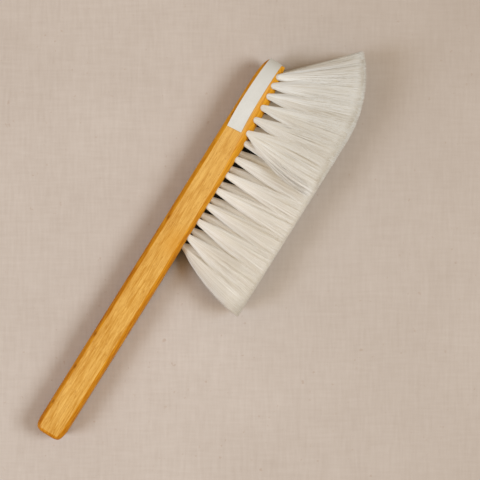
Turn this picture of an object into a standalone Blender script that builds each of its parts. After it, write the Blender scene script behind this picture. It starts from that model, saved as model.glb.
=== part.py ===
"""Bee brush: one beech board, grip and head together, filled with two staggered rows of hair tufts.

The brush lies on its side. The origin is the middle of the grip's lower side face, +X runs along the
wood to the nose, +Y points to the back of the wood, so the hair points to -Y, and +Z is the thickness.
Lengths are in millimetres below, and become metres where a mesh is made.
"""

import math
from collections import namedtuple

import bmesh
import bpy
from mathutils import Matrix, Vector

MM = 0.001

# The board
BUTT_X = -88.9
NOSE_X = 251.0
HALF_HEIGHT = 11.75
HALF_THICKNESS = 10.0
MIDDLE_Z = HALF_THICKNESS
BUTT_CORNER_RUN = 9.5
BUTT_CORNER_DROP = 4.3
BUTT_EASE_RUN = 3.9
BUTT_EASE_DROP = 3.3
BACK_CORNER = 3.5
GRIP_CORNER = 3.3
HEAD_CORNER_Y = 7.6
HEAD_CORNER_Z = 6.8
CORNER_POWER = 1.4
CORNER_GROWS_FROM = 140.0
CORNER_GROWS_TO = 218.0
CORNER_GROWTH_STEPS = 5
NOSE_DROP_START = 226.0
NOSE_DROP = 4.5
HEAD_RISE_START = 50.0
HEAD_RISE = 1.2
NOSE_RISE_START = 214.0
NOSE_RISE = 5.3
NOSE_RISE_POWER = 1.4
NOSE_ROUND_START = 236.0
NOSE_ROUND_STEP = 15
CORNER_STEPS = 3
LEAST_CORNER_SHARE = 0.9
GRIP_STATIONS = (-50.0, 50.0)

# The holes, and the anchors at their bottoms
HOLE_RADIUS = 2.7
HOLE_DEPTH = 11.0
NOSE_HOLE_DEPTH = 9.0
HOLE_REACH = 7.0
HOLE_SIDE_WALL = 0.5
ROUND_SIDES = 12
ANCHOR_LONG = 5.6
ANCHOR_TALL = 2.2
ANCHOR_WIRE = 0.5
ANCHOR_BEVEL = 0.1
ANCHOR_FROM_BOTTOM = 3.4
GAP = 0.3

# The two rows of feet
ROW_OFFSET = 4.0
NOSE_ROW_OFFSET = 7.0
ROWS_PART_FROM = 184.0
ROWS_PART_TO = 191.0
STRAIGHT_PITCH = 14.15
STRAIGHT_TUFTS = 7
UPPER_ROW_START = 98.7
LOWER_ROW_START = 90.6
NOSE_ROW_START = 191.2
NOSE_PITCH = 12.4
NOSE_PITCH_LOSS = 0.5
UPPER_NOSE_TUFTS = 6
LOWER_NOSE_TUFTS = 7
ROW_STAGGER = 0.5
STRAIGHT_SPLAY = 4.0
NOSE_SPLAY = 20.0
LAST_SPLAY = 8.0

# The hair
ROOT_RADIUS = 2.3
ROOT_CLEARANCE = 1.3
HAIR_LENGTH = 65.0
BACK_LEAN = 11.7
LEAN_RECOVERY = 16.0
LEAN_FADE = 22.0
NOSE_LEAN = 38.0
NOSE_FAN_START = 190.0
NOSE_FAN_LENGTH = 58.0
AXIS_LEAN_SHARE = 0.8
TRIM_Y = -76.8
TRIM_ROUND_START = 225.0
TRIM_RADIUS = 99.0
GRIP_END_HALF_WIDTH = 4.0
NOSE_END_HALF_WIDTH = 7.5
TUFT_GAP = 0.2
INNER_FACE = 0.3
UPPER_FLARES = (18.0, 24.0)
LOWER_FLARES = (12.0, 15.0)
FLARE_GROWS_FROM = 165.0
FLARE_GROWS_TO = 205.0
SPREAD_FROM = 0.05
SPREAD_TO = 0.45
TUFT_STATIONS = (0.05, 0.18, 0.32, 0.45, 0.7, 1.0)
TIP_BOXINESS = 0.5

# The label
LABEL_START_X = 188.0
LABEL_HIGHEST_X = 214.0
LABEL_HIGHEST_Y = 3.6
LABEL_BOW = 0.0021
LABEL_HALF_WIDTH = 6.0
LABEL_NARROWING = 0.8
LABEL_GAP = 0.15
LABEL_PAPER = 0.35

Foot = namedtuple("Foot", "name x side left right")


def smoothstep(start, end, x):
    t = min(1.0, max(0.0, (x - start) / (end - start)))
    return t * t * (3 - 2 * t)


def arc_drop(share):
    """How far a quarter circle of unit size has dropped at this share of its run."""
    return 1 - math.sqrt(max(0.0, 1 - share * share))


def corner_drop(share):
    """The same for the board's corners, which are between a quarter circle and a flat chamfer."""
    return 1 - max(0.0, 1 - share**CORNER_POWER) ** (1 / CORNER_POWER)


def srgb(red, green, blue):
    """A screen colour, 0 to 255, as the linear colour that a shader takes."""
    return tuple((c / 255) ** 2.2 for c in (red, green, blue)) + (1.0,)


def material(name, color, roughness, metallic=0.0):
    made = bpy.data.materials.new(name)
    made.use_nodes = True
    shader = made.node_tree.nodes["Principled BSDF"]
    shader.inputs["Base Color"].default_value = color
    shader.inputs["Roughness"].default_value = roughness
    shader.inputs["Metallic"].default_value = metallic
    made.diffuse_color = color
    return made


def loft(name, rings):
    """A closed mesh through rings of equally many points in millimetres, capped at both ends."""
    mesh = bpy.data.meshes.new(name)
    bm = bmesh.new()
    rows = [[bm.verts.new(Vector(p) * MM) for p in ring] for ring in rings]
    for row, following in zip(rows, rows[1:]):
        for i in range(len(row)):
            j = (i + 1) % len(row)
            bm.faces.new((row[i], row[j], following[j], following[i]))
    bm.faces.new(rows[0][::-1])
    bm.faces.new(rows[-1])
    bmesh.ops.recalc_face_normals(bm, faces=bm.faces)
    bm.to_mesh(mesh)
    bm.free()
    mesh.shade_smooth()
    mesh.set_sharp_from_angle(angle=math.radians(40))
    return mesh


def add(name, mesh, made_of=None):
    thing = bpy.data.objects.new(name, mesh)
    bpy.context.scene.collection.objects.link(thing)
    if made_of:
        mesh.materials.append(made_of)
    return thing


def cut(thing, cutter):
    modifier = thing.modifiers.new(cutter.name, "BOOLEAN")
    modifier.object = cutter
    modifier.operation = "DIFFERENCE"


# ---- the board's outline ----


def butt_corner(x):
    return BUTT_CORNER_DROP * arc_drop(max(0.0, 1 - (x - BUTT_X) / BUTT_CORNER_RUN))


def back_edge(x):
    nose = max(0.0, (x - NOSE_DROP_START) / (NOSE_X - NOSE_DROP_START))
    return HALF_HEIGHT - NOSE_DROP * arc_drop(nose) - butt_corner(x)


def hair_edge(x):
    """Y of the hair side's edge: it rises slowly along the head, and faster at the nose."""
    head = min(1.0, max(0.0, (x - HEAD_RISE_START) / (NOSE_RISE_START - HEAD_RISE_START)))
    nose = max(0.0, (x - NOSE_RISE_START) / (NOSE_X - NOSE_RISE_START))
    return -HALF_HEIGHT + HEAD_RISE * head + NOSE_RISE * nose**NOSE_RISE_POWER + butt_corner(x)


def half_thickness(x):
    """Half the thickness: the nose is half an ellipse in plan, and the butt's end is eased."""
    nose = max(0.0, (x - NOSE_ROUND_START) / (NOSE_X - NOSE_ROUND_START))
    butt = max(0.0, 1 - (x - BUTT_X) / BUTT_EASE_RUN)
    return HALF_THICKNESS * (1 - arc_drop(nose)) - BUTT_EASE_DROP * arc_drop(butt)


def hair_corner(x):
    """The size of the corner on the hair side, (in Y, in Z): small on the grip, wide on the head."""
    grown = smoothstep(CORNER_GROWS_FROM, CORNER_GROWS_TO, x)
    in_y = GRIP_CORNER + (HEAD_CORNER_Y - GRIP_CORNER) * grown
    in_z = GRIP_CORNER + (HEAD_CORNER_Z - GRIP_CORNER) * grown
    return in_y, min(in_z, LEAST_CORNER_SHARE * half_thickness(x))


def hair_surface(x, offset):
    """Y of the board's hair side at this distance from its middle plane."""
    in_y, in_z = hair_corner(x)
    past = max(0.0, offset - (half_thickness(x) - in_z)) / in_z
    return hair_edge(x) + in_y * corner_drop(min(1.0, past))


def board_ring(x):
    """One cross-section: four eased corners joined by flats."""
    half = half_thickness(x)
    back = (BACK_CORNER, min(BACK_CORNER, LEAST_CORNER_SHARE * half))
    hair = hair_corner(x)
    points = []
    corners = ((1, 1, back), (1, -1, back), (-1, -1, hair), (-1, 1, hair))
    for y_side, z_side, (in_y, in_z) in corners:
        edge = back_edge(x) if y_side > 0 else -hair_edge(x)
        for step in range(CORNER_STEPS + 1):
            turn = math.pi / 2 * step / CORNER_STEPS
            if y_side != z_side:
                turn = math.pi / 2 - turn
            y = y_side * (edge - in_y + in_y * math.sin(turn) ** (2 / CORNER_POWER))
            z = z_side * (half - in_z + in_z * abs(math.cos(turn)) ** (2 / CORNER_POWER))
            points.append((x, y, MIDDLE_Z + z))
    return points


def board_stations():
    """X of every cross-section, closer together where the outline turns."""
    butt = [BUTT_CORNER_RUN * (1 - math.cos(math.radians(a))) for a in (0, 25, 40, 54, 70, 90)]
    nose = [math.sin(math.radians(a)) for a in range(NOSE_ROUND_STEP, 90, NOSE_ROUND_STEP)]
    growth_step = (NOSE_RISE_START - CORNER_GROWS_FROM) / CORNER_GROWTH_STEPS
    return (
        [BUTT_X + run for run in butt]
        + list(GRIP_STATIONS)
        + [CORNER_GROWS_FROM + growth_step * k for k in range(CORNER_GROWTH_STEPS + 1)]
        + [NOSE_DROP_START, NOSE_ROUND_START]
        + [NOSE_ROUND_START + (NOSE_X - NOSE_ROUND_START) * share for share in nose]
    )


# ---- the feet of the tufts ----


def foot_offset(x):
    """Distance of a hole's mouth from the middle plane: the rows part on the head's wide corners."""
    parted = smoothstep(ROWS_PART_FROM, ROWS_PART_TO, x)
    wanted = ROW_OFFSET + (NOSE_ROW_OFFSET - ROW_OFFSET) * parted
    room = half_thickness(x + HOLE_RADIUS) - HOLE_RADIUS - HOLE_SIDE_WALL
    return min(wanted, max(room, 0.0))


def splay(x):
    """A hole's slope away from the middle plane, in radians."""
    parted = smoothstep(ROWS_PART_FROM, ROWS_PART_TO, x)
    last = smoothstep(NOSE_DROP_START, NOSE_X, x)
    degrees = STRAIGHT_SPLAY + (NOSE_SPLAY - STRAIGHT_SPLAY) * parted
    return math.radians(degrees - (NOSE_SPLAY - LAST_SPLAY) * last)


def lean(x):
    """How much further along the board a hair's tip is than its foot."""
    recovered = LEAN_RECOVERY * (1 - math.exp(-(x - LOWER_ROW_START) / LEAN_FADE))
    fan = min(1.0, max(0.0, (x - NOSE_FAN_START) / NOSE_FAN_LENGTH))
    return recovered - BACK_LEAN + NOSE_LEAN * fan * fan


def hole_axis(x, side):
    """The direction, out of the wood, in which the hole at x points."""
    angle = AXIS_LEAN_SHARE * math.atan2(lean(x), HAIR_LENGTH)
    out = splay(x)
    return Vector(
        (math.sin(angle), -math.cos(angle) * math.cos(out), side * math.cos(angle) * math.sin(out))
    )


def hole_depth(x):
    return NOSE_HOLE_DEPTH if x > ROWS_PART_FROM else HOLE_DEPTH


def foot_frame(foot, along):
    """A frame on the hole's axis, this far out of the mouth: its X along the row, its Y outwards."""
    offset = foot_offset(foot.x)
    axis = hole_axis(foot.x, foot.side)
    row = Vector((1, 0, 0)) - axis * axis.x
    row.normalize()
    mouth = Vector((foot.x, hair_surface(foot.x, offset), MIDDLE_Z + foot.side * offset))
    turned = Matrix((row, axis, row.cross(axis))).transposed().to_4x4()
    return Matrix.Translation((mouth + axis * along) * MM) @ turned


def nose_foot(k):
    return NOSE_ROW_START + NOSE_PITCH * k - NOSE_PITCH_LOSS * k * k


def row_feet(name, side, start, first_nose, nose_tufts):
    """A row's feet from the grip to the nose, each with its share of the row to the left and right."""
    straight = [start + STRAIGHT_PITCH * k for k in range(STRAIGHT_TUFTS)]
    xs = straight + [nose_foot(first_nose + k) for k in range(nose_tufts)]
    feet = []
    for i, x in enumerate(xs):
        left = (x - xs[i - 1]) / 2 if i else GRIP_END_HALF_WIDTH
        right = (xs[i + 1] - x) / 2 if i + 1 < len(xs) else NOSE_END_HALF_WIDTH
        feet.append(Foot(f"{name}_{i + 1:02d}", x, side, left, right))
    return feet


def all_feet():
    upper = row_feet("upper", 1, UPPER_ROW_START, 0.0, UPPER_NOSE_TUFTS)
    lower = row_feet("lower", -1, LOWER_ROW_START, -ROW_STAGGER, LOWER_NOSE_TUFTS)
    return upper + lower


# ---- cutters ----


def joined_cutter(name, feet, add_shape):
    """One object that holds a closed shape for each foot, for the Booleans to cut with."""
    mesh = bpy.data.meshes.new(name)
    bm = bmesh.new()
    for foot in feet:
        add_shape(bm, foot)
    bm.to_mesh(mesh)
    bm.free()
    cutter = add(name, mesh)
    cutter.hide_render = True
    cutter.display_type = "WIRE"
    return cutter


def add_hole(bm, foot):
    depth = hole_depth(foot.x)
    length = depth + HOLE_REACH
    frame = foot_frame(foot, HOLE_REACH - length / 2)
    bmesh.ops.create_cone(
        bm,
        cap_ends=True,
        segments=ROUND_SIDES,
        radius1=HOLE_RADIUS * MM,
        radius2=HOLE_RADIUS * MM,
        depth=length * MM,
        matrix=frame @ Matrix.Rotation(math.pi / 2, 4, "X"),
    )


def anchor_frame(foot):
    return foot_frame(foot, ANCHOR_FROM_BOTTOM - hole_depth(foot.x))


def add_bar(bm, frame, long, tall, thick):
    size = Matrix.Diagonal((long * MM, tall * MM, thick * MM, 1))
    bmesh.ops.create_cube(bm, size=1, matrix=frame @ size)


def add_anchor_pocket(bm, foot):
    room = 2 * GAP
    size = (ANCHOR_LONG + room, ANCHOR_TALL + room, ANCHOR_WIRE + room)
    add_bar(bm, anchor_frame(foot), *size)


# ---- the pieces ----


def make_board(holes, pockets):
    beech = material("beech", srgb(217, 166, 84), 0.35)
    board = add("stock", loft("stock", [board_ring(x) for x in board_stations()]), beech)
    cut(board, holes)
    cut(board, pockets)


def trim_line(x):
    """Y of the trimmed hair ends: straight under the head, then round to the nose."""
    past = max(0.0, x - TRIM_ROUND_START)
    return TRIM_Y + TRIM_RADIUS * arc_drop(past / TRIM_RADIUS)


def hair_point(x, side, across, spread, t):
    """A point on the hair whose foot is at x; t runs from 0 at the mouth to 1 at the tip.

    across, from -1 to 1, is the hair's place in its tuft's depth, and spread is how far the tuft has
    opened from a round bundle to its full depth.
    """
    on_wood = min(x, nose_foot(LOWER_NOSE_TUFTS - 1 - ROW_STAGGER))
    offset = foot_offset(on_wood)
    grown = smoothstep(FLARE_GROWS_FROM, FLARE_GROWS_TO, x)
    straight_flare, nose_flare = UPPER_FLARES if side > 0 else LOWER_FLARES
    flare = straight_flare + (nose_flare - straight_flare) * grown
    middle = offset + ((flare + INNER_FACE) / 2 - offset) * spread
    half = ROOT_RADIUS + ((flare - INNER_FACE) / 2 - ROOT_RADIUS) * spread
    foot = Vector((x, hair_surface(on_wood, offset), 0))
    bend = foot + hole_axis(on_wood, side) * HAIR_LENGTH / 2
    tip_x = x + lean(x)
    tip = Vector((tip_x, trim_line(tip_x), 0))
    point = foot * (1 - t) ** 2 + bend * 2 * t * (1 - t) + tip * t * t
    point.z = MIDDLE_Z + side * (middle + half * across)
    return point


def tuft_ring(foot, t):
    """One section of a tuft: round at the mouth, and a soft box that fills its share further out."""
    spread = min(1.0, (t - SPREAD_FROM) / (SPREAD_TO - SPREAD_FROM))
    left = ROOT_RADIUS + (foot.left - TUFT_GAP / 2 - ROOT_RADIUS) * spread
    right = ROOT_RADIUS + (foot.right - TUFT_GAP / 2 - ROOT_RADIUS) * spread
    power = 1 + (TIP_BOXINESS - 1) * spread
    ring = []
    for i in range(ROUND_SIDES):
        turn = 2 * math.pi * i / ROUND_SIDES
        along = math.copysign(abs(math.cos(turn)) ** power, math.cos(turn))
        across = math.copysign(abs(math.sin(turn)) ** power, math.sin(turn))
        x = foot.x + along * (right if along > 0 else left)
        ring.append(hair_point(x, foot.side, across, spread, t))
    return ring


def root_ring(foot, along):
    """A round section of the bundle inside its hole."""
    frame = foot_frame(foot, along)
    ring = []
    for i in range(ROUND_SIDES):
        turn = 2 * math.pi * i / ROUND_SIDES
        place = Vector((math.cos(turn), 0, -foot.side * math.sin(turn)))
        ring.append(frame @ (place * ROOT_RADIUS * MM) / MM)
    return ring


def make_tuft(foot, hair, pockets):
    rings = [root_ring(foot, ROOT_CLEARANCE - hole_depth(foot.x)), root_ring(foot, 0.0)]
    rings += [tuft_ring(foot, t) for t in TUFT_STATIONS]
    tuft = add(f"tuft_{foot.name}", loft(f"tuft_{foot.name}", rings), hair)
    cut(tuft, pockets)


def make_anchor(foot, mesh):
    anchor = add(f"anchor_{foot.name}", mesh)
    anchor.matrix_world = anchor_frame(foot)


def anchor_mesh():
    """The flat wire staple that the hair is folded over."""
    mesh = bpy.data.meshes.new("anchor")
    bm = bmesh.new()
    add_bar(bm, Matrix(), ANCHOR_LONG, ANCHOR_TALL, ANCHOR_WIRE)
    bmesh.ops.bevel(bm, geom=bm.edges[:], offset=ANCHOR_BEVEL * MM, segments=1, affect="EDGES")
    bm.to_mesh(mesh)
    bm.free()
    mesh.materials.append(material("anchor_steel", srgb(176, 178, 180), 0.35, 1.0))
    return mesh


def label_outline(off):
    """The label's path round the nose in plan, this far off the wood."""
    reach = NOSE_X - NOSE_ROUND_START + off
    half = HALF_THICKNESS + off
    path = [(LABEL_START_X, half)]
    for degrees in range(0, 181, NOSE_ROUND_STEP):
        turn = math.radians(degrees)
        path.append((NOSE_ROUND_START + reach * math.sin(turn), half * math.cos(turn)))
    path.append((LABEL_START_X, -half))
    return path


def label_edge(x, side):
    """Y of the label's upper or lower edge: the strip bows towards the wood's back."""
    middle = LABEL_HIGHEST_Y - LABEL_BOW * (x - LABEL_HIGHEST_X) ** 2
    share = (x - LABEL_START_X) / (NOSE_X - LABEL_START_X)
    return middle + side * (LABEL_HALF_WIDTH - LABEL_NARROWING * share * share)


def label_point(x, z, side):
    """A corner of the label; its two ends are square to the bowed strip."""
    y = label_edge(x, side)
    slope = 2 * LABEL_BOW * (LABEL_HIGHEST_X - x) if x <= LABEL_START_X else 0.0
    return (x - side * LABEL_HALF_WIDTH * slope, y, MIDDLE_Z + z)


def make_label():
    """A blank paper strip, wrapped round the nose onto both side faces."""
    rings = []
    pairs = zip(label_outline(LABEL_GAP), label_outline(LABEL_GAP + LABEL_PAPER))
    for inner, outer in pairs:
        corners = ((inner, -1), (outer, -1), (outer, 1), (inner, 1))
        rings.append([label_point(x, z, side) for (x, z), side in corners])
    add("label", loft("label", rings), material("label_paper", srgb(226, 225, 220), 0.6))


def main():
    for thing in list(bpy.data.objects):
        bpy.data.objects.remove(thing)
    feet = all_feet()
    holes = joined_cutter("hole_cutter", feet, add_hole)
    pockets = joined_cutter("pocket_cutter", feet, add_anchor_pocket)
    hair = material("hair", srgb(222, 217, 204), 0.6)
    staple = anchor_mesh()
    make_board(holes, pockets)
    make_label()
    for foot in feet:
        make_tuft(foot, hair, pockets)
        make_anchor(foot, staple)


main()
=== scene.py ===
"""The looks of the bee brush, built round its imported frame.

The board, the label and the hair tufts are rebuilt here as fine meshes, in the places that the frame
gives. The anchors inside the holes stay as they are and take a steel material. Lengths are in
millimetres below, and become metres where a mesh is made.
"""

import math

import bmesh
import bpy
import numpy as np
from mathutils import Matrix, Vector
from mathutils.bvhtree import BVHTree


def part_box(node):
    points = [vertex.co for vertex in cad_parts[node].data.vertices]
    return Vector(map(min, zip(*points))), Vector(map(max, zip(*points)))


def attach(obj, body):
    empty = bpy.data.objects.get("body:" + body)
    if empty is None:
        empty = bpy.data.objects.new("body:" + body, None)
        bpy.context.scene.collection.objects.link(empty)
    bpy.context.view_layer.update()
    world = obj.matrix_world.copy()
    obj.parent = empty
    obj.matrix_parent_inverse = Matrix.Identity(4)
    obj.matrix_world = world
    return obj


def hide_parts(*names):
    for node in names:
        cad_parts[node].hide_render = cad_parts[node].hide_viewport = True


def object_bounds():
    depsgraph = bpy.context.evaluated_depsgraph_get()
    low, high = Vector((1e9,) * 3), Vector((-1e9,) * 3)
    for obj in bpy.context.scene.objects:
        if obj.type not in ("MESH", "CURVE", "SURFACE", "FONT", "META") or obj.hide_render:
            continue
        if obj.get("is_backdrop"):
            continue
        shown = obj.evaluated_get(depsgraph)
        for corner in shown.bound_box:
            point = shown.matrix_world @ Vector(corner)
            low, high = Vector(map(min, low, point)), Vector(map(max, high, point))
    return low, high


MM = 0.001
SEED = 641

# The board's outline
BUTT_CORNER_RUN = 9.5
BUTT_CORNER_DROP = 4.3
BUTT_EASE_RUN = 3.9
BUTT_EASE_DROP = 3.3
BACK_CORNER = 3.5
GRIP_CORNER = 3.3
HEAD_CORNER_Y = 7.6
HEAD_CORNER_Z = 6.8
CORNER_GROWS_FROM = 140.0
CORNER_GROWS_TO = 218.0
NOSE_DROP_START = 226.0
NOSE_DROP = 4.5
HEAD_RISE_START = 50.0
HEAD_RISE = 1.2
NOSE_RISE_START = 214.0
NOSE_RISE = 5.3
NOSE_RISE_POWER = 1.4
NOSE_ROUND_START = 236.0
CORNER_POWER = 1.4
CORNER_STEPS = 9
LEAST_CORNER_SHARE = 0.95
STATION_STEP = 5.0
SHARP_ANGLE = 35.0

# Marks on the wood: small nicks along the upper back edge (X of each), and a stain on the upper face
NICKS = (-63.7, -31.9, -2.5, 103.7, 197.3)
NICK_Y = 9.3
NICK_DEPTH = 1.0
NICK_REACH = 1.7
NICK_CORE = 0.5
STAIN = (89.0, -4.5)
STAIN_REACH = 11.0
STAIN_CORE = 2.0
SPOT_STRETCH = 0.6

# The holes
HOLE_RADIUS = 2.7
HOLE_SIDES = 32
HOLE_REACH = 8.0
ANCHOR_TO_BOTTOM = 3.4

# The label
LABEL_HIGHEST_X = 214.0
LABEL_HIGHEST_Y = 3.6
LABEL_BOW = 0.0018
LABEL_NOSE_BOW = 0.0008
LABEL_HALF_WIDTH = 6.0
LABEL_NARROWING = 0.8
LABEL_PAPER = 0.35
LABEL_INSET = 0.6
LABEL_SLANT_LOSS = 3.0
LABEL_COLUMNS = 10

# The hair's special tufts: the lower row's end tuft at the grip is the fullest, and the nose's first upper
# tuft lies over its neighbours and opens the widest
END_TUFT = "lower_01"
OVER_TUFT = "upper_08"

# The strands, from just above the anchor to the trim
STRANDS = 900
END_STRANDS = 1800
STRAND_POINTS = 8
STRAND_SIDES = 3
STRAND_RADIUS = 0.1
TIP_SHARE = 0.7
ROOT_RADIUS = 2.45
ABOVE_ANCHOR = 1.6
FAN_STARTS = 0.5
FAN_START_SLANT = 2.0

# Their lean and the trim line, which is straight up to the nose and round from there
HAIR_LENGTH = 65.0
AXIS_LEAN_SHARE = 0.8
NOSE_HAIR_FROM = 165.0
NOSE_HAIR_TO = 205.0
TRIM_ROUND_START = 225.0
TRIM_RADIUS = 99.0
TRIM_JITTER = 0.25
TRIM_RETREAT = 1.5
NOSE_RETREAT = 5.5

# How far a tuft opens along its row: shares of half the space between two feet, and shares of that opening
# for the tufts at the ends and the one that lies over its neighbours
UPPER_SPREAD = 1.4
LOWER_SPREAD = 2.3
NOSE_SPREAD = 2.1
END_UPPER_SPREAD = 1.1
END_LOWER_SPREAD = 0.5
LAST_SPREAD = 0.6
OVER_SPREAD = 2.4
SQUARENESS = 0.6

# How far a tuft reaches past the middle of the board to its inner side, and which part of it is lifted
UPPER_INNER_REACH = 4.0
LOWER_INNER_REACH = 15.0
END_INNER_REACH = 18.0
INNER_RISE = 5.0
LIFT_FROM = 0.1
LIFT_TO = 0.8

# The wisps, the bend and the unevenness of the strands
WISPS = 26
WISPING = 0.18
PLACE_JITTER = 0.06
BULGE = 0.6
BEND_SHARE = 0.05
BEND_JITTER = 0.5
WAVE = 0.5
LEAST_WAVES = 0.5
MOST_WAVES = 1.3

# The shading of a tuft as one bundle, and the shades of its strands and wisps
NORMAL_BLEND = 0.7
OVER_TURN = 0.3
TURN_LOSS = 0.6
OUTWARD = 0.15
ENDS_FROM = 0.75
ENDS_BLUR = 0.4
SHADE = 0.55
STRAND_SHADES = 0.2
WISP_SHADES = 0.12
NOSE_WISP_SHADES = 0.16

# The strands' cells in a texture map
MAP_COLUMNS = 30
MAP_MARGIN = 0.1

# The camera, straight above a point of the brush
VIEW_X = 117.9
VIEW_Y = -46.75
VIEW_WIDTH = 369.6
LENS = 50.0
SENSOR = 24.0
ROLL = 58.0

# The ground: its brush strokes' scales, and two corners that the light leaves darker (X, Y, how much)
GROUND_REACH = 1500.0
GROUND_GAP = 0.3
STROKES = ((0.05, 0.45, 0.4), (0.45, 0.05, 0.4))
DARK_CORNERS = ((373.0, -106.0, 0.42), (59.0, -302.0, 0.3))
CORNER_REACH = 210.0
CORNER_CORE = 10.0
ENCLOSED_WITHIN = 60.0

# The light: each lamp's name, direction, elevation in degrees, power and colour, and the room's own light
LAMPS = (
    ("right", (0.5, -0.87), 45, 37.9, (0.85, 0.94, 1.0)),
    ("left", (-0.77, 0.64), 37.5, 28.2, (0.79, 0.88, 1.0)),
)
LAMP_DISTANCE = 2.2
LAMP_SIZE = 0.88
ROOM_COLOR = (1.0, 0.69, 0.36, 1)
ROOM_STRENGTH = 0.43

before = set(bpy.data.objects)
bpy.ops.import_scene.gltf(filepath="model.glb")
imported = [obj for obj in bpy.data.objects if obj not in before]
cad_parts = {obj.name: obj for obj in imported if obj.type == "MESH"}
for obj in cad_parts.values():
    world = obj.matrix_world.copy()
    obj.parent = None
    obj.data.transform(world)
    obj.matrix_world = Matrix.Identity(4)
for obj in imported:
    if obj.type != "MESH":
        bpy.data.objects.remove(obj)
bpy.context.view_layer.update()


# ---- small helpers ----


def smoothstep(start, end, x):
    t = np.clip((x - start) / (end - start), 0.0, 1.0)
    return t * t * (3 - 2 * t)


def arc_drop(share):
    """How far a quarter circle of unit size has dropped at this share of its run."""
    return 1 - np.sqrt(np.maximum(0.0, 1 - share * share))


def box_mm(node):
    low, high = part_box(node)
    return Vector(low) / MM, Vector(high) / MM


def mesh_object(name, points, faces, smooth=True):
    """An object from points in millimetres."""
    mesh = bpy.data.meshes.new(name)
    mesh.from_pydata((np.asarray(points) * MM).tolist(), [], faces)
    mesh.update()
    if smooth:
        mesh.shade_smooth()
    made = bpy.data.objects.new(name, mesh)
    bpy.context.scene.collection.objects.link(made)
    return made


def finish_piece(piece, node, material):
    """The new piece takes the CAD node's place."""
    piece.data.materials.clear()
    piece.data.materials.append(material)
    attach(piece, "root")
    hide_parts(node)


# ---- shader helpers ----


class Shader:
    """A material's node tree with short ways to add and link nodes."""

    def __init__(self, name):
        self.material = bpy.data.materials.new(name)
        self.material.use_nodes = True
        self.tree = self.material.node_tree
        self.surface = self.tree.nodes["Principled BSDF"]

    def node(self, kind, **settings):
        made = self.tree.nodes.new(kind)
        for key, value in settings.items():
            setattr(made, key, value)
        return made

    def feed(self, socket, value):
        if isinstance(value, bpy.types.NodeSocket):
            self.tree.links.new(value, socket)
        else:
            socket.default_value = value

    def set(self, name, value):
        self.feed(self.surface.inputs[name], value)

    def object_mm(self, stretch=(1, 1, 1), turn=0.0):
        """Object coordinates in millimetres, turned about Z by degrees, each axis times its stretch."""
        coordinates = self.node("ShaderNodeTexCoord").outputs["Object"]
        if turn:
            turned = self.node("ShaderNodeVectorRotate", rotation_type="Z_AXIS")
            turned.inputs["Angle"].default_value = math.radians(turn)
            self.feed(turned.inputs["Vector"], coordinates)
            coordinates = turned.outputs["Vector"]
        scale = self.node("ShaderNodeVectorMath", operation="MULTIPLY")
        self.feed(scale.inputs[0], coordinates)
        scale.inputs[1].default_value = tuple(s / MM for s in stretch)
        return scale.outputs["Vector"]

    def part(self, vector, axis):
        """One component of a vector."""
        made = self.node("ShaderNodeSeparateXYZ")
        self.feed(made.inputs[0], vector)
        return made.outputs[axis]

    def along_x(self, start, end):
        """0 at X = start, growing to 1 at X = end."""
        x = self.part(self.object_mm(), "X")
        return self.math("MULTIPLY_ADD", x, 1 / (end - start), -start / (end - start), clamp=True)

    def noise(self, vector, scale=1.0, detail=3.0, roughness=0.5, distortion=0.0):
        made = self.node("ShaderNodeTexNoise")
        self.feed(made.inputs["Vector"], vector)
        made.inputs["Scale"].default_value = scale
        made.inputs["Detail"].default_value = detail
        made.inputs["Roughness"].default_value = roughness
        made.inputs["Distortion"].default_value = distortion
        return made.outputs["Fac"]

    def ramp(self, value, *stops):
        """A colour ramp; each stop is (position, colour or grey)."""
        made = self.node("ShaderNodeValToRGB")
        self.feed(made.inputs["Fac"], value)
        points = made.color_ramp.elements
        while len(points) < len(stops):
            points.new(0.5)
        for point, (position, color) in zip(points, stops):
            point.position = position
            point.color = color if isinstance(color, tuple) else (color, color, color, 1)
        return made.outputs["Color"]

    def math(self, operation, *values, clamp=False):
        made = self.node("ShaderNodeMath", operation=operation, use_clamp=clamp)
        for socket, value in zip(made.inputs, values):
            self.feed(socket, value)
        return made.outputs["Value"]

    def mix(self, factor, first, second, blend="MIX"):
        made = self.node("ShaderNodeMix", data_type="RGBA", blend_type=blend)
        sockets = [s for s in made.inputs if s.enabled]
        for socket, value in zip(sockets, (factor, first, second)):
            self.feed(socket, value)
        return next(s for s in made.outputs if s.enabled)

    def times(self, first, second):
        return self.mix(1.0, first, second, "MULTIPLY")

    def tint(self, color, mask, share, other):
        """Mixes in another colour where the mask is 1, up to this share."""
        return self.mix(self.math("MULTIPLY", mask, share), color, other)

    def spot(self, middle, reach, core):
        """1 within core of the middle, in millimetres, and fading to 0 at reach; drawn out along X."""
        distance = self.node("ShaderNodeVectorMath", operation="DISTANCE")
        self.feed(distance.inputs[0], self.object_mm((SPOT_STRETCH, 1, 1)))
        distance.inputs[1].default_value = (middle[0] * SPOT_STRETCH, middle[1], middle[2])
        share = self.math("DIVIDE", distance.outputs["Value"], reach)
        return self.ramp(share, (core / reach, 1.0), (1.0, 0.0))

    def bump(self, height, distance, strength=1.0):
        made = self.node("ShaderNodeBump")
        made.inputs["Strength"].default_value = strength
        made.inputs["Distance"].default_value = distance * MM
        self.feed(made.inputs["Height"], height)
        self.set("Normal", made.outputs["Normal"])


def srgb(red, green, blue):
    """A screen colour, 0 to 255, as the linear colour that a shader takes."""
    shares = (red / 255, green / 255, blue / 255)
    linear = [c / 12.92 if c < 0.04045 else ((c + 0.055) / 1.055) ** 2.4 for c in shares]
    return (*linear, 1.0)


# ---- materials ----


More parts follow.
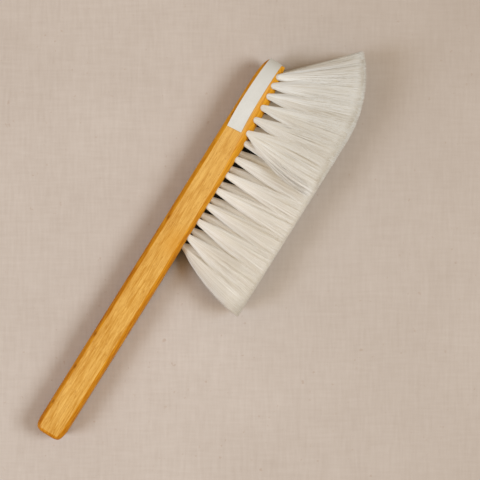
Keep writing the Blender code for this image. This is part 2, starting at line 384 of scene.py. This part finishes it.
def beech(board):
    """Lacquered beech: fine lines along the grain, short dark flecks, and amber eased edges and sides. The
    flats' paler colour is a painted sheen, and the edges' deeper colour is partly the wood's own and partly
    painted shade.
    """
    s = Shader("beech")
    lines = s.noise(s.object_mm((0.055, 0.75, 0.6)), detail=4, roughness=0.7, distortion=1.0)
    flecks = s.noise(s.object_mm((0.30, 2.4, 2.0)), detail=1, roughness=0.4)
    toward_head = s.along_x(50, 300)
    color = beech_face(s, lines, flecks, toward_head)
    top = board.middle + board.half
    stain = s.spot((*STAIN, top), STAIN_REACH, STAIN_CORE)
    color = s.tint(color, stain, 0.4, srgb(206, 138, 30))
    facing = s.math("ABSOLUTE", s.part(s.node("ShaderNodeNewGeometry").outputs["Normal"], "Z"))
    eased = beech_edges_and_shade(s, lines, facing, toward_head)
    # Painted sheen and shade: the flats keep the paler colour, and the eased edges and sides, turned away
    # from straight up, take the deeper one
    color = s.mix(s.ramp(facing, (0.965, 0.96), (0.99, 0.0)), color, eased)
    for x in NICKS:
        nick = s.spot((x, NICK_Y, top - NICK_DEPTH), NICK_REACH, NICK_CORE)
        color = s.tint(color, nick, 0.5, srgb(104, 46, 8))
    s.set("Base Color", color)
    s.set("Roughness", s.ramp(lines, (0.3, 0.5), (0.7, 0.42)))
    s.set("Specular IOR Level", 0.1)
    s.set("Coat Weight", 0.05)
    s.set("Coat Roughness", 0.2)
    height = s.mix(0.5, s.ramp(lines, (0.3, 0.0), (0.7, 1.0)), s.ramp(flecks, (0.6, 1.0), (0.72, 0.0)))
    s.bump(height, 0.03, 0.5)
    return s.material


def beech_face(s, lines, flecks, toward_head):
    """The colour of the flat upper and lower faces, paler toward the head; their paleness beside the edges
    is a painted sheen.
    """
    bands = s.noise(s.object_mm((0.014, 0.13, 0.11)), detail=3, roughness=0.6, distortion=0.8)
    base = s.ramp(bands, (0.32, srgb(195, 135, 44)), (0.5, srgb(206, 152, 62)), (0.68, srgb(220, 172, 88)))
    grain = s.ramp(lines, (0.36, srgb(176, 112, 26)), (0.62, srgb(238, 194, 112)))
    color = s.tint(s.mix(0.5, base, grain), toward_head, 0.5, srgb(226, 184, 112))
    return s.tint(color, s.ramp(flecks, (0.62, 0.0), (0.72, 1.0)), 0.5, srgb(150, 88, 24))


def beech_edges_and_shade(s, lines, facing, toward_head):
    """The deeper colour of the eased edges and the sides, partly the wood's own and partly painted shade
    that follows the way they face, with painted light toward the head; facing is 1 where the wood faces
    straight up.
    """
    color = s.ramp(
        facing,
        (0.0, srgb(178, 114, 26)),
        (0.3, srgb(176, 105, 2)),
        (0.7, srgb(182, 111, 0)),
        (0.93, srgb(196, 126, 6)),
    )
    # Painted light: the edges turn paler toward the head, where more light falls on them
    color = s.mix(toward_head, color, srgb(222, 160, 30))
    darker = s.times(color, srgb(230, 214, 180))
    lighter = s.mix(0.3, color, srgb(232, 170, 44))
    return s.mix(s.ramp(lines, (0.4, 0.0), (0.6, 1.0)), darker, lighter)


def hair():
    """Pale natural hair: every strand has its own shade, warmer at the root; painted shade greys it toward
    the nose and darkens its cut ends.
    """
    s = Shader("hair")
    strand = s.node("ShaderNodeSeparateColor")
    s.feed(strand.inputs[0], s.node("ShaderNodeAttribute", attribute_name="strand").outputs["Color"])
    along = strand.outputs["Green"]
    shade = s.ramp(
        strand.outputs["Red"],
        (0.0, srgb(188, 182, 174)),
        (0.35, srgb(206, 203, 200)),
        (0.8, srgb(216, 215, 214)),
        (1.0, srgb(227, 226, 226)),
    )
    # The ramp warms the root and darkens the last few hundredths of each strand: that darkening is painted
    # shade on the cut ends
    ends = s.ramp(along, (0.0, srgb(250, 244, 234)), (0.25, 1.0), (0.96, 1.0), (1.0, srgb(226, 221, 214)))
    color = s.times(shade, ends)
    # Painted shade: the hair greys toward the nose, where less light reaches it
    s.set("Base Color", s.mix(s.along_x(150, 233.3), color, s.times(color, srgb(236, 239, 241))))
    s.set("Roughness", s.ramp(strand.outputs["Blue"], (0.0, 0.42), (1.0, 0.6)))
    s.set("Specular IOR Level", 0.35)
    # A faint glow stands in for the light that real hair scatters inside the tuft
    s.set("Emission Color", (1.0, 0.8, 0.56, 1))
    s.set("Emission Strength", 0.14)
    let_shadow_rays_through(s, along)
    return s.material


def let_shadow_rays_through(s, along):
    """Light passes on through the hair, less and less toward the tips, instead of ending at each strand."""
    clear = s.ramp(
        along,
        (0.1, (0.97, 0.93, 0.86, 1)),
        (0.4, (0.92, 0.87, 0.79, 1)),
        (0.65, (0.8, 0.75, 0.66, 1)),
    )
    through = s.node("ShaderNodeBsdfTransparent")
    s.feed(through.inputs["Color"], clear)
    both = s.node("ShaderNodeMixShader")
    s.feed(both.inputs[0], s.node("ShaderNodeLightPath").outputs["Is Shadow Ray"])
    s.feed(both.inputs[1], s.surface.outputs["BSDF"])
    s.feed(both.inputs[2], through.outputs["BSDF"])
    s.feed(s.tree.nodes["Material Output"].inputs["Surface"], both.outputs["Shader"])


def paper():
    """Plain white paper with faint fibres and a slight unevenness; painted shade greys it where it turns
    round the nose.
    """
    s = Shader("label_paper")
    fibres = s.noise(s.object_mm((0.8, 0.8, 0.8)), detail=5, roughness=0.7)
    clouds = s.noise(s.object_mm((0.05, 0.08, 0.05)), detail=2)
    color = s.ramp(clouds, (0.3, srgb(206, 206, 202)), (0.7, srgb(216, 216, 213)))
    color = s.mix(0.12, color, s.ramp(fibres, (0.35, srgb(176, 175, 168)), (0.6, srgb(228, 228, 226))))
    # Painted shade where the strip turns away round the nose
    s.set("Base Color", s.mix(s.along_x(205, 255), color, srgb(190, 189, 184)))
    s.set("Roughness", s.ramp(fibres, (0.3, 0.55), (0.7, 0.7)))
    s.bump(fibres, 0.02, 0.4)
    return s.material


def steel():
    """Drawn staple wire, streaked along its length."""
    s = Shader("anchor_steel")
    streaks = s.noise(s.object_mm((0.4, 6, 6)), detail=3)
    s.set("Base Color", s.ramp(streaks, (0.3, srgb(140, 141, 143)), (0.7, srgb(196, 197, 199))))
    s.set("Metallic", 1.0)
    s.set("Roughness", s.ramp(streaks, (0.3, 0.45), (0.7, 0.28)))
    s.bump(streaks, 0.01, 0.4)
    return s.material


def backdrop():
    """A pale painted board: faint clouds, brush strokes both ways, and a few specks, with painted shade in
    two corners and where wood and hair enclose it.
    """
    s = Shader("backdrop")
    clouds = s.noise(s.object_mm((0.008, 0.008, 0.008)), detail=5, roughness=0.62)
    color = s.ramp(clouds, (0.3, srgb(184, 172, 163)), (0.7, srgb(195, 184, 176)))
    strokes = [s.noise(s.object_mm(stretch, ROLL), detail=3, roughness=0.6) for stretch in STROKES]
    for stroke in strokes:
        color = s.mix(0.22, color, s.ramp(stroke, (0.3, srgb(176, 163, 152)), (0.7, srgb(203, 193, 185))))
    specks = s.noise(s.object_mm((0.22, 0.22, 0.22)), detail=2, roughness=0.5)
    color = s.tint(color, s.ramp(specks, (0.7, 0.0), (0.76, 1.0)), 0.35, srgb(160, 132, 110))
    # Painted shade: two corners that the light leaves darker
    for x, y, share in DARK_CORNERS:
        color = s.tint(color, s.spot((x, y, 0), CORNER_REACH, CORNER_CORE), share, srgb(146, 130, 115))
    # Painted shade darkens the ground where wood and hair enclose it
    s.set("Base Color", s.times(color, painted_enclosure_shade(s)))
    s.set("Roughness", 0.75)
    s.bump(s.mix(0.5, *strokes), 0.15, 0.3)
    return s.material


def painted_enclosure_shade(s):
    """Painted shade: white in the open, and nearly black where wood and hair enclose the ground."""
    made = s.node("ShaderNodeAmbientOcclusion", samples=8)
    made.inputs["Distance"].default_value = ENCLOSED_WITHIN * MM
    return s.ramp(made.outputs["AO"], (0.12, 0.02), (0.46, 1.0))


# ---- the board ----


class Board:
    """The board's outline, at the ends and thickness that the frame gives."""

    def __init__(self):
        low, high = box_mm("stock")
        self.butt_x = low.x
        self.nose_x = high.x
        self.back = high.y
        self.hair = low.y
        self.half = (high.z - low.z) / 2
        self.middle = (high.z + low.z) / 2

    def butt_corner(self, x):
        return BUTT_CORNER_DROP * arc_drop(np.maximum(0.0, 1 - (x - self.butt_x) / BUTT_CORNER_RUN))

    def back_edge(self, x):
        nose = np.maximum(0.0, (x - NOSE_DROP_START) / (self.nose_x - NOSE_DROP_START))
        return self.back - NOSE_DROP * arc_drop(nose) - self.butt_corner(x)

    def hair_edge(self, x):
        head = np.clip((x - HEAD_RISE_START) / (NOSE_RISE_START - HEAD_RISE_START), 0.0, 1.0)
        nose = np.maximum(0.0, (x - NOSE_RISE_START) / (self.nose_x - NOSE_RISE_START))
        return self.hair + HEAD_RISE * head + NOSE_RISE * nose**NOSE_RISE_POWER + self.butt_corner(x)

    def half_thickness(self, x):
        nose = np.maximum(0.0, (x - NOSE_ROUND_START) / (self.nose_x - NOSE_ROUND_START))
        butt = np.maximum(0.0, 1 - (x - self.butt_x) / BUTT_EASE_RUN)
        return self.half * (1 - arc_drop(nose)) - BUTT_EASE_DROP * arc_drop(butt)

    def hair_corner(self, x):
        grown = smoothstep(CORNER_GROWS_FROM, CORNER_GROWS_TO, x)
        in_y = GRIP_CORNER + (HEAD_CORNER_Y - GRIP_CORNER) * grown
        in_z = GRIP_CORNER + (HEAD_CORNER_Z - GRIP_CORNER) * grown
        return in_y, min(in_z, LEAST_CORNER_SHARE * self.half_thickness(x))

    def ring(self, x):
        """One cross-section: flats joined by corners between a chamfer and a round."""
        half = self.half_thickness(x)
        back = (BACK_CORNER, min(BACK_CORNER, LEAST_CORNER_SHARE * half))
        hair_side = self.hair_corner(x)
        points = []
        corners = ((1, 1, back), (1, -1, back), (-1, -1, hair_side), (-1, 1, hair_side))
        for y_side, z_side, (in_y, in_z) in corners:
            edge = self.back_edge(x) if y_side > 0 else -self.hair_edge(x)
            for step in range(CORNER_STEPS + 1):
                turn = math.pi / 2 * step / CORNER_STEPS
                if y_side != z_side:
                    turn = math.pi / 2 - turn
                out_y = math.sin(turn) ** (2 / CORNER_POWER)
                out_z = abs(math.cos(turn)) ** (2 / CORNER_POWER)
                y = y_side * (edge - in_y + in_y * out_y)
                z = z_side * (half - in_z + in_z * out_z)
                points.append((x, y, self.middle + z))
        return points

    def stations(self):
        """X of every cross-section, closer together where the outline turns."""
        turns = np.radians(np.arange(0, 90, 6))
        butt = self.butt_x + BUTT_CORNER_RUN * (1 - np.cos(turns))
        ease = self.butt_x + BUTT_EASE_RUN * (1 - np.cos(turns[1:]))
        nose = NOSE_ROUND_START + (self.nose_x - NOSE_ROUND_START) * np.sin(np.radians(np.arange(4, 89, 4)))
        middle = np.arange(self.butt_x + BUTT_CORNER_RUN, NOSE_ROUND_START, STATION_STEP)
        return sorted({*butt, *ease, *middle, NOSE_ROUND_START, *nose})


def make_board(board, feet, material):
    rings = [board.ring(x) for x in board.stations()]
    count = len(rings[0])
    faces = [tuple(range(count))[::-1]]
    for k in range(len(rings) - 1):
        for i in range(count):
            j = (i + 1) % count
            faces.append((k * count + i, k * count + j, (k + 1) * count + j, (k + 1) * count + i))
    faces.append(tuple(range((len(rings) - 1) * count, len(rings) * count)))
    piece = mesh_object("board", [p for ring in rings for p in ring], faces)
    outward(piece)
    for foot in feet:
        foot.find_mouth(piece)
    drill(piece, feet)
    piece.data.shade_smooth()
    piece.data.set_sharp_from_angle(angle=math.radians(SHARP_ANGLE))
    finish_piece(piece, "stock", material)
    return piece


def outward(piece):
    """Turns all faces so that they point out."""
    bm = bmesh.new()
    bm.from_mesh(piece.data)
    bmesh.ops.recalc_face_normals(bm, faces=bm.faces)
    bm.to_mesh(piece.data)
    bm.free()


def drill(piece, feet):
    """Cuts a round hole for each foot, down to just past its anchor."""
    points, faces = [], []
    for foot in feet:
        start = len(points)
        for along in (-ANCHOR_TO_BOTTOM, foot.depth + HOLE_REACH):
            for i in range(HOLE_SIDES):
                turn = 2 * math.pi * i / HOLE_SIDES
                out = foot.row * math.cos(turn) + foot.across * math.sin(turn)
                points.append(foot.anchor + foot.axis * along + out * HOLE_RADIUS)
        for i in range(HOLE_SIDES):
            j = (i + 1) % HOLE_SIDES
            faces.append((start + i, start + j, start + HOLE_SIDES + j, start + HOLE_SIDES + i))
        faces.append(tuple(range(start, start + HOLE_SIDES))[::-1])
        faces.append(tuple(range(start + HOLE_SIDES, start + 2 * HOLE_SIDES)))
    cutter = mesh_object("holes", points, faces, smooth=False)
    outward(cutter)
    modifier = piece.modifiers.new("holes", "BOOLEAN")
    modifier.object = cutter
    modifier.operation = "DIFFERENCE"
    shape = piece.evaluated_get(bpy.context.evaluated_depsgraph_get())
    piece.data = bpy.data.meshes.new_from_object(shape)
    piece.modifiers.clear()
    bpy.data.objects.remove(cutter)


# ---- the label ----


def label_path(board, off):
    """The strip's path round the nose in plan, from one side face to the other, as X and Z."""
    low, high = box_mm("label")
    reach = board.nose_x - NOSE_ROUND_START + off
    half = board.half + off
    straight = [(x, half) for x in np.linspace(low.x + LABEL_INSET, NOSE_ROUND_START, 16)[:-1]]
    turns = np.radians(np.arange(0, 91, 5))
    path = straight + [(NOSE_ROUND_START + reach * math.sin(t), half * math.cos(t)) for t in turns]
    return path + [(x, -z) for x, z in path[-2::-1]]


def label_point(x, z, share, board):
    """A point of the strip; share runs from -1 at its lower edge to 1 at its upper edge."""
    start = box_mm("label")[0].x
    along = (x - start) / (board.nose_x - start)
    bow = LABEL_BOW if x < LABEL_HIGHEST_X else LABEL_NOSE_BOW
    middle = LABEL_HIGHEST_Y - bow * (x - LABEL_HIGHEST_X) ** 2
    half = LABEL_HALF_WIDTH - LABEL_NARROWING * along * along
    # The ends are cut square to the bowed strip, and this slant is lost along the strip
    slope = 2 * LABEL_BOW * (LABEL_HIGHEST_X - x) * max(0.0, 1 - LABEL_SLANT_LOSS * along)
    return (x - share * half * slope, middle + share * half, board.middle + z)


def make_label(board, material):
    """A paper strip round the nose, on both side faces."""
    size_z = box_mm("label")[1].z - board.middle - board.half
    shares = np.linspace(-1, 1, LABEL_COLUMNS + 1)
    layers = (label_path(board, size_z - LABEL_PAPER), label_path(board, size_z))
    points = [label_point(x, z, share, board) for path in layers for x, z in path for share in shares]
    rows, columns = len(layers[0]), len(shares)
    size = rows * columns
    faces = []
    for i in range(rows - 1):
        for k in range(LABEL_COLUMNS):
            a = i * columns + k
            quad = (a, a + 1, a + columns + 1, a + columns)
            faces += [quad, tuple(size + v for v in quad[::-1])]
        for k in (0, LABEL_COLUMNS):
            a = i * columns + k
            faces.append((a, a + columns, size + a + columns, size + a))
    for i in (0, rows - 1):
        for k in range(LABEL_COLUMNS):
            a = i * columns + k
            faces.append((a, a + 1, size + a + 1, size + a))
    piece = mesh_object("label_strip", points, faces)
    outward(piece)
    piece.data.set_sharp_from_angle(angle=math.radians(SHARP_ANGLE))
    finish_piece(piece, "label", material)


# ---- the tufts ----


class Foot:
    """Where one tuft stands: its anchor, its hole's axis, and its reach at the tips, all from the frame."""

    def __init__(self, name, board):
        self.name = name
        self.side = 1 if name.startswith("upper") else -1
        self.end = name == END_TUFT
        self.over = name == OVER_TUFT
        corners = np.array([v.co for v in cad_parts["anchor_" + name].data.vertices]) / MM
        self.anchor = Vector((corners.min(0) + corners.max(0)) / 2)
        directions = np.linalg.svd(corners - np.array(self.anchor))[2]
        self.axis = Vector(directions[1])
        if self.axis.y > 0:
            self.axis = -self.axis
        self.row = (Vector((1, 0, 0)) - self.axis * self.axis.x).normalized()
        self.across = self.axis.cross(self.row)
        if self.across.z * self.side < 0:
            self.across = -self.across
        low, high = box_mm("tuft_" + name)
        self.flare = high.z - board.middle if self.side > 0 else board.middle - low.z
        self.lean = HAIR_LENGTH * math.tan(math.atan2(self.axis.x, -self.axis.y) / AXIS_LEAN_SHARE)

    def find_mouth(self, piece):
        """The hole's mouth is where its axis leaves the wood."""
        tree = BVHTree.FromObject(piece, bpy.context.evaluated_depsgraph_get())
        hit = tree.ray_cast(self.anchor * MM, self.axis)[0]
        self.mouth = hit / MM
        self.depth = (self.mouth - self.anchor).length


class Fan:
    """How far forward the tips are, along both rows, and where the trim ends them."""

    def __init__(self, feet, board):
        ordered = sorted(feet, key=lambda foot: foot.mouth.x)
        self.xs = np.array([foot.mouth.x for foot in ordered])
        self.leans = np.array([foot.lean for foot in ordered])
        self.low_y = min(box_mm("tuft_" + foot.name)[0].y for foot in feet)
        self.middle = board.middle

    def tip_x(self, x):
        last = (self.leans[-1] - self.leans[-3]) / (self.xs[-1] - self.xs[-3])
        first = (self.leans[2] - self.leans[0]) / (self.xs[2] - self.xs[0])
        past = np.maximum(0.0, x - self.xs[-1])
        before = np.minimum(0.0, x - self.xs[0])
        return x + np.interp(x, self.xs, self.leans) + last * past + first * before

    def trim(self, x):
        past = np.clip((x - TRIM_ROUND_START) / TRIM_RADIUS, 0.0, 1.0)
        return self.low_y + TRIM_RADIUS * arc_drop(past)


def spread_of(foot, feet):
    """How far the tuft opens towards the grip and towards the nose, before the fan widens it further."""
    same = sorted(f.mouth.x for f in feet if f.side == foot.side)
    at = same.index(foot.mouth.x)
    gaps = [abs(foot.mouth.x - same[k]) for k in (at - 1, at + 1) if 0 <= k < len(same)]
    nose = smoothstep(NOSE_HAIR_FROM, NOSE_HAIR_TO, foot.mouth.x)
    share = UPPER_SPREAD + (NOSE_SPREAD - UPPER_SPREAD) * nose if foot.side > 0 else LOWER_SPREAD
    spread = share * sum(gaps) / len(gaps) / 2
    to_grip = 1
    if at == 0:
        to_grip = END_UPPER_SPREAD if foot.side > 0 else END_LOWER_SPREAD
    if foot.over:
        to_grip = OVER_SPREAD
    return spread * to_grip, spread * (LAST_SPREAD if at + 1 == len(same) else 1)


def scatter(rng, count):
    """Points spread evenly over a unit disc."""
    turn = rng.random(count) * 2 * math.pi
    radius = np.sqrt(rng.random(count))
    return np.stack((radius * np.cos(turn), radius * np.sin(turn)), 1)


def tip_places(place, rng):
    """Each strand's place at the tips: as at the root, but drawn towards the middle of its wisp."""
    wisps = scatter(rng, WISPS)
    nearest = np.argmin(((place[:, None] - wisps[None]) ** 2).sum(2), 1)
    tips = place * (1 - WISPING) + wisps[nearest] * WISPING
    squared = np.linalg.norm(tips, axis=1) / np.maximum(np.abs(tips).max(1), 1e-9)
    tips = tips * squared[:, None] ** SQUARENESS
    return tips + rng.normal(0, PLACE_JITTER, place.shape), nearest


def strand_tips(foot, feet, fan, tips, rng):
    """Where the strands end: fanned out along the row, opened in depth, and trimmed."""
    nose = smoothstep(NOSE_HAIR_FROM, NOSE_HAIR_TO, foot.mouth.x)
    to_grip, to_nose = spread_of(foot, feet)
    x = fan.tip_x(foot.mouth.x + tips[:, 0] * np.where(tips[:, 0] < 0, to_grip, to_nose))
    depth = np.clip(tips[:, 1], -1, 1)
    inner = UPPER_INNER_REACH if foot.side > 0 else LOWER_INNER_REACH
    if foot.end:
        inner = END_INNER_REACH
    out = (foot.flare - inner) / 2 + (foot.flare + inner) / 2 * depth
    lifted = smoothstep(LIFT_FROM, LIFT_TO, -tips[:, 0]) if foot.over else 0.0
    out = out * (1 - lifted) + foot.flare * lifted
    retreat = (TRIM_RETREAT + NOSE_RETREAT * nose * (1 - lifted)) * (np.maximum(out, 0) / foot.flare) ** 2
    y = fan.trim(x) + retreat + np.abs(rng.normal(0, TRIM_JITTER, len(x)))
    return np.stack((x, y, fan.middle + foot.side * out), 1)


def strand_lines(foot, feet, fan, place, rng):
    """Centre lines of one tuft's strands, as an array of strands by points by XYZ, and their wisps."""
    tips, wisp = tip_places(place, rng)
    tip = strand_tips(foot, feet, fan, tips, rng)
    row, across, axis = (np.array(v) for v in (foot.row, foot.across, foot.axis))
    nose = smoothstep(NOSE_HAIR_FROM, NOSE_HAIR_TO, foot.mouth.x)
    rim = FAN_STARTS - FAN_START_SLANT * nose * place[:, 1:]
    place_mm = ROOT_RADIUS * (place[:, :1] * row + place[:, 1:] * across)
    root = np.array(foot.mouth) + axis * rim + place_mm
    length = np.linalg.norm(tip - root, axis=1, keepdims=True)
    bend = BEND_SHARE * (root + axis * length / 2) + (1 - BEND_SHARE) * (root + tip) / 2
    fanned = (tip - tip.mean(0)) - (root - root.mean(0))
    if foot.over or foot.end:
        bend += fanned * BULGE
    if foot.side < 0:
        bend -= across * INNER_RISE * np.maximum(0, -place[:, 1:])
    bend += rng.normal(0, BEND_JITTER, tip.shape)
    t = np.linspace(0, 1, STRAND_POINTS - 1)[None, :, None]
    lines = root[:, None] * (1 - t) ** 2 + bend[:, None] * 2 * t * (1 - t) + tip[:, None] * t * t
    each = (len(place), 1, 1)
    wave = np.sin(2 * math.pi * (t * rng.uniform(LEAST_WAVES, MOST_WAVES, each) + rng.random(each)))
    lines = lines + wave * t * (1 - t) * rng.normal(0, WAVE, (len(place), 1, 3))
    buried = np.array(foot.anchor) + axis * ABOVE_ANCHOR + place_mm
    return np.concatenate((buried[:, None], lines), 1), wisp


def unit(vectors):
    return vectors / np.maximum(np.linalg.norm(vectors, axis=-1, keepdims=True), 1e-9)


def tube_points(lines, along, rng):
    """Rings of points round the centre lines, and the directions from the lines to the points."""
    tangent = unit(np.gradient(lines, axis=1))
    first = unit(np.cross(tangent, (0, 0, 1)))
    second = np.cross(tangent, first)
    radius = (STRAND_RADIUS * (1 - (1 - TIP_SHARE) * along**2))[None, :, None, None]
    roll = rng.random((len(lines), 1, 1)) + np.arange(STRAND_SIDES) / STRAND_SIDES
    turn = (2 * math.pi * roll)[..., None]
    out = first[:, :, None] * np.cos(turn) + second[:, :, None] * np.sin(turn)
    return lines[:, :, None] + out * radius, out, tangent


def tuft_normals(foot, place, out, tangent, along):
    """Normals that shade the strands partly as one rounded bundle, so that they don't glitter."""
    row, across = np.array(foot.row), np.array(foot.across)
    turned = OVER_TURN if foot.over else 1.0
    sideways = turned * place[:, :1, None] * row * (1 - TURN_LOSS * along)[None, :, None]
    bundle = sideways + (place[:, 1:, None] + OUTWARD) * across
    bundle = unit(bundle - tangent * (bundle * tangent).sum(-1, keepdims=True))
    # On the inner side the ends face along the hair, as the cut end of a bundle does
    inner = smoothstep(-ENDS_BLUR, ENDS_BLUR, -place[:, 1:, None])
    ends = smoothstep(ENDS_FROM, 1.0, along)[None, :, None] * inner
    bundle = unit(bundle * (1 - ends) + tangent * ends)
    return unit(out * (1 - NORMAL_BLEND) + bundle[:, :, None] * NORMAL_BLEND)


def strand_faces(count):
    """Every strand of a tuft as a long three-sided tube with closed ends, and its corners in a map."""
    per_strand = STRAND_POINTS * STRAND_SIDES
    faces = []
    corners = []
    for j in range(STRAND_POINTS - 1):
        for k in range(STRAND_SIDES):
            n = (k + 1) % STRAND_SIDES
            a = j * STRAND_SIDES
            faces.append((a + k, a + n, a + STRAND_SIDES + n, a + STRAND_SIDES + k))
            corners += [(k, j), (k + 1, j), (k + 1, j + 1), (k, j + 1)]
    last = per_strand - STRAND_SIDES
    faces.append(tuple(range(STRAND_SIDES))[::-1])
    corners += [(k, 0) for k in range(STRAND_SIDES)][::-1]
    faces.append(tuple(range(last, per_strand)))
    corners += [(k, STRAND_POINTS - 1) for k in range(STRAND_SIDES)]
    everything = [tuple(v + s * per_strand for v in face) for s in range(count) for face in faces]
    return everything, np.array(corners) / (STRAND_SIDES, STRAND_POINTS - 1)


def strand_map(corners, count):
    """Each strand's own cell of the texture map, with a margin round it."""
    cells = np.arange(count)
    rows = math.ceil(count / MAP_COLUMNS)
    place = np.stack((cells % MAP_COLUMNS, cells // MAP_COLUMNS), 1)[:, None]
    inside = MAP_MARGIN + (1 - 2 * MAP_MARGIN) * corners[None]
    return (place + inside) / (MAP_COLUMNS, rows)


def make_tuft(foot, feet, fan, material):
    """One tuft's mesh, with each strand's shade, its length along and its gloss as a colour attribute."""
    rng = np.random.default_rng(SEED + round(foot.anchor.x * 10))
    count = END_STRANDS if foot.end else STRANDS
    faces, corners = strand_faces(count)
    place = scatter(rng, count)
    lines, wisp = strand_lines(foot, feet, fan, place, rng)
    along = np.linspace(0, 1, STRAND_POINTS)
    points, out, tangent = tube_points(lines, along, rng)
    normals = tuft_normals(foot, place, out, tangent, along)
    piece = mesh_object("hair_" + foot.name, points.reshape(-1, 3), faces)
    piece.data.normals_split_custom_set_from_vertices(normals.reshape(-1, 3))
    piece.data.uv_layers.new(name="OFBake").data.foreach_set("uv", strand_map(corners, count).ravel())
    nose = 0.0 if foot.over else smoothstep(NOSE_HAIR_FROM, NOSE_HAIR_TO, foot.mouth.x)
    shade = rng.normal(SHADE, STRAND_SHADES, count)
    shade = shade + rng.normal(0, WISP_SHADES + NOSE_WISP_SHADES * nose, WISPS)[wisp]
    values = np.ones((*points.shape[:3], 4), np.float32)
    values[..., 0] = np.clip(shade, 0, 1)[:, None, None]
    values[..., 1] = along[None, :, None]
    values[..., 2] = rng.random(count)[:, None, None]
    attribute = piece.data.color_attributes.new("strand", "FLOAT_COLOR", "POINT")
    attribute.data.foreach_set("color", values.ravel())
    finish_piece(piece, "tuft_" + foot.name, material)


# ---- stage, lights and camera ----


def make_stage(board, material):
    """A pale floor, sloped so that it lies just under the butt and the lowest hair of the nose."""
    low, high = (corner / MM for corner in map(Vector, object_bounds()))
    slope = -low.z / (high.x - board.butt_x)
    points = []
    for x_side, y_side in ((-1, -1), (1, -1), (1, 1), (-1, 1)):
        x = VIEW_X + x_side * GROUND_REACH
        y = VIEW_Y + y_side * GROUND_REACH
        points.append((x, y, -GROUND_GAP - (x - board.butt_x) * slope))
    floor = mesh_object("floor", points, [(0, 1, 2, 3)], smooth=False)
    floor.data.materials.append(material)
    floor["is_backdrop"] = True


def area_light(name, place, target, power, color):
    lamp = bpy.data.lights.new(name, "AREA")
    lamp.shape = "SQUARE"
    lamp.size = LAMP_SIZE
    lamp.energy = power
    lamp.color = color
    made = bpy.data.objects.new(name, lamp)
    bpy.context.scene.collection.objects.link(made)
    made.location = place
    made.rotation_euler = (target - place).to_track_quat("-Z", "Y").to_euler()


def make_lamps():
    """Two soft lamps on opposite sides, cooler than the warm light of the room."""
    target = Vector((VIEW_X, VIEW_Y, 0)) * MM
    for name, (x, y), elevation, power, color in LAMPS:
        height = math.tan(math.radians(elevation))
        toward = Vector((x, y, height)).normalized()
        area_light(name, target + toward * LAMP_DISTANCE, target, power, color)


def make_room():
    """The room's warm light, and the pale wall that the camera sees past the floor instead of it."""
    world = bpy.data.worlds.new("studio")
    bpy.context.scene.world = world
    world.use_nodes = True
    tree = world.node_tree
    light = tree.nodes["Background"]
    light.inputs["Color"].default_value = ROOM_COLOR
    light.inputs["Strength"].default_value = ROOM_STRENGTH
    wall = tree.nodes.new("ShaderNodeBackground")
    wall.inputs["Color"].default_value = srgb(214, 206, 198)
    path = tree.nodes.new("ShaderNodeLightPath")
    both = tree.nodes.new("ShaderNodeMixShader")
    tree.links.new(path.outputs["Is Camera Ray"], both.inputs[0])
    tree.links.new(light.outputs["Background"], both.inputs[1])
    tree.links.new(wall.outputs["Background"], both.inputs[2])
    tree.links.new(both.outputs["Shader"], tree.nodes["World Output"].inputs["Surface"])


def make_camera(board):
    """Straight down, rolled so that the board runs to the upper right."""
    camera = bpy.data.cameras.new("camera")
    camera.lens = LENS
    camera.sensor_width = SENSOR
    camera.clip_start = 0.01
    made = bpy.data.objects.new("camera", camera)
    bpy.context.scene.collection.objects.link(made)
    distance = VIEW_WIDTH * LENS / SENSOR
    top = board.middle + board.half
    place = Matrix.Translation(Vector((VIEW_X, VIEW_Y, top + distance)) * MM)
    made.matrix_world = place @ Matrix.Rotation(math.radians(-ROLL), 4, "Z")
    bpy.context.scene.camera = made
    # Plain colours, without a film curve
    bpy.context.scene.view_settings.view_transform = "Standard"


def main():
    board = Board()
    names = sorted(n[len("anchor_") :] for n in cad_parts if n.startswith("anchor_"))
    feet = [Foot(name, board) for name in names]
    make_board(board, feet, beech(board))
    make_label(board, paper())
    fan = Fan(feet, board)
    cream = hair()
    for foot in feet:
        make_tuft(foot, feet, fan, cream)
    wire = steel()
    for name in names:
        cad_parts["anchor_" + name].material_slots[0].material = wire
    make_stage(board, backdrop())
    make_lamps()
    make_room()
    make_camera(board)


main()
